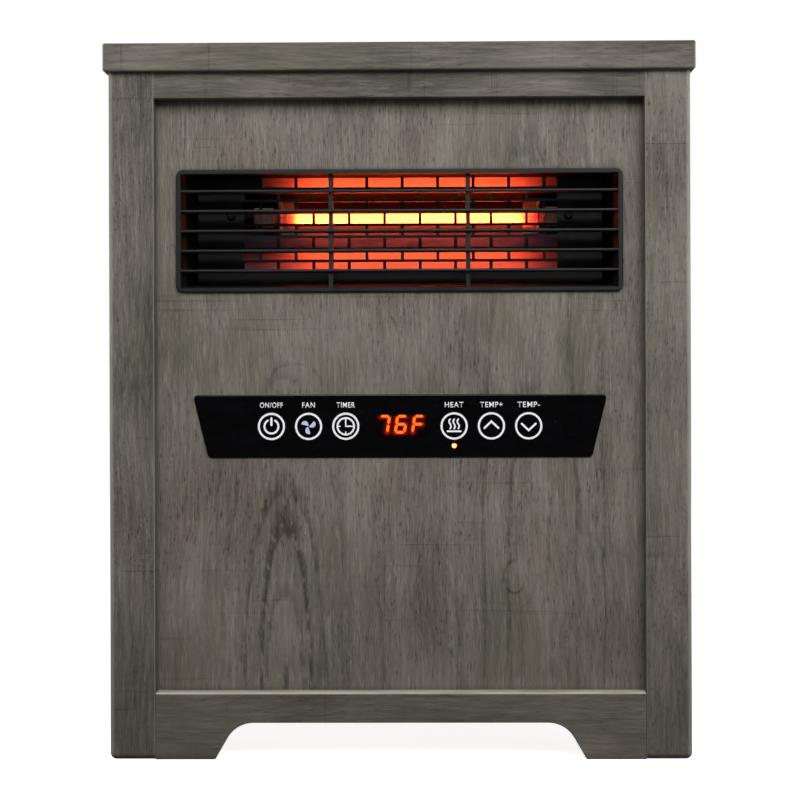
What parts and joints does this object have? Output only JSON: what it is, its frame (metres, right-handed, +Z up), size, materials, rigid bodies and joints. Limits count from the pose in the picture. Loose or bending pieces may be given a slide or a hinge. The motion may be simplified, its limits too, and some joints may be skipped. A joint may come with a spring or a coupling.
{
  "type": "space heater",
  "caption": "Cabinet space heater: stained wooden box on arched feet, louvred outlet over a glowing quartz tube, key panel with display, rear filter.",
  "frame": {"origin": "on the floor, under the centre of the cabinet", "axes": "+X to the right of somebody facing the front, +Y from the front to the back, +Z up"},
  "size_m": [0.336, 0.282, 0.407],
  "materials": {
    "stained_wood": "stained, brushed grain",
    "plain_board": "raw",
    "black_moulding": "fine texture",
    "black_gloss": "gloss",
    "amber_light_pipe": "gloss",
    "black_steel": "satin",
    "zinc_steel": "zinc plated",
    "bright_aluminium": "bright",
    "mill_aluminium": "mill",
    "quartz": "clear",
    "resistance_wire": "oxidised",
    "white_ceramic": "unglazed",
    "laminated_steel": "varnished",
    "winding": "enamelled wire",
    "circuit_board": "solder mask",
    "dark_components": "moulded",
    "mesh_cloth": "woven",
    "black_rubber": "matt",
    "brass_weight": "turned"
  },
  "bodies": {
    "cabinet": {"cap_board": "stained_wood", "front_left_post": "stained_wood", "front_right_post": "stained_wood", "rear_left_post": "stained_wood", "rear_right_post": "stained_wood", "front_top_rail": "stained_wood", "front_bottom_rail": "stained_wood", "left_top_rail": "stained_wood", "left_bottom_rail": "stained_wood", "right_top_rail": "stained_wood", "right_bottom_rail": "stained_wood", "rear_top_rail": "stained_wood", "rear_bottom_rail": "stained_wood", "front_panel": "stained_wood", "left_panel": "stained_wood", "right_panel": "stained_wood", "base_board": "plain_board", "base_cleats": "plain_board", "steel_brackets": "zinc_steel", "outlet_grille": "black_moulding", "element_guard": "black_steel", "guard_screws": "black_steel", "quartz_tube": "quartz", "heating_coil": "resistance_wire", "tube_end_caps": "white_ceramic", "tube_clips": "zinc_steel", "reflector": "bright_aluminium", "heater_duct": "zinc_steel", "ceramic_core": "white_ceramic", "core_fins": "mill_aluminium", "thermal_devices": "zinc_steel", "motor_core": "laminated_steel", "motor_coil": "winding", "motor_bridge": "zinc_steel", "blower_housing": "zinc_steel", "control_fascia": "black_gloss", "display_lens": "black_gloss", "heat_indicator": "amber_light_pipe", "control_carrier": "black_moulding", "control_board": "circuit_board", "rear_cover": "black_moulding", "cover_screws": "black_steel", "cord_gland": "black_rubber", "switch_housing": "black_moulding", "power_board": "circuit_board", "power_components": "dark_components", "tilt_switch_frame": "black_moulding", "inner_screws": "zinc_steel"},
    "power_key": {"power_key": "black_gloss"},
    "fan_key": {"fan_key": "black_gloss"},
    "timer_key": {"timer_key": "black_gloss"},
    "heat_key": {"heat_key": "black_gloss"},
    "temp_up_key": {"temp_up_key": "black_gloss"},
    "temp_down_key": {"temp_down_key": "black_gloss"},
    "fan_rotor": {"impeller": "mill_aluminium", "motor_rotor": "zinc_steel"},
    "filter": {"filter_frame": "black_moulding", "filter_mesh": "mesh_cloth"},
    "rocker": {"rocker_button": "black_gloss"},
    "pendulum": {"tilt_pendulum": "brass_weight"}
  },
  "joints": [
    {"name": "power_press", "type": "slide", "parent": "cabinet", "child": "power_key", "axis": [0, 1, 0], "range_m": [0, 0.0005], "stiffness_N_per_m": 800},
    {"name": "fan_press", "type": "slide", "parent": "cabinet", "child": "fan_key", "axis": [0, 1, 0], "range_m": [0, 0.0005], "stiffness_N_per_m": 800},
    {"name": "timer_press", "type": "slide", "parent": "cabinet", "child": "timer_key", "axis": [0, 1, 0], "range_m": [0, 0.0005], "stiffness_N_per_m": 800},
    {"name": "heat_press", "type": "slide", "parent": "cabinet", "child": "heat_key", "axis": [0, 1, 0], "range_m": [0, 0.0005], "stiffness_N_per_m": 800},
    {"name": "temp_up_press", "type": "slide", "parent": "cabinet", "child": "temp_up_key", "axis": [0, 1, 0], "range_m": [0, 0.0005], "stiffness_N_per_m": 800},
    {"name": "temp_down_press", "type": "slide", "parent": "cabinet", "child": "temp_down_key", "axis": [0, 1, 0], "range_m": [0, 0.0005], "stiffness_N_per_m": 800},
    {"name": "fan_spin", "type": "hinge", "parent": "cabinet", "child": "fan_rotor", "pos_m": [0, -0.003, 0.308], "axis": [1, 0, 0], "continuous": true},
    {"name": "filter_pull", "type": "slide", "parent": "cabinet", "child": "filter", "axis": [0, 1, 0], "range_m": [0, 0.06]},
    {"name": "rocker_tip", "type": "hinge", "parent": "cabinet", "child": "rocker", "pos_m": [-0.05, 0.135, 0.074], "axis": [1, 0, 0], "range_deg": [-25, 0]},
    {"name": "pendulum_swing", "type": "hinge", "parent": "cabinet", "child": "pendulum", "pos_m": [0.0945, 0.01, 0.074], "axis": [1, 0, 0], "range_deg": [-30, 30]}
  ]
}
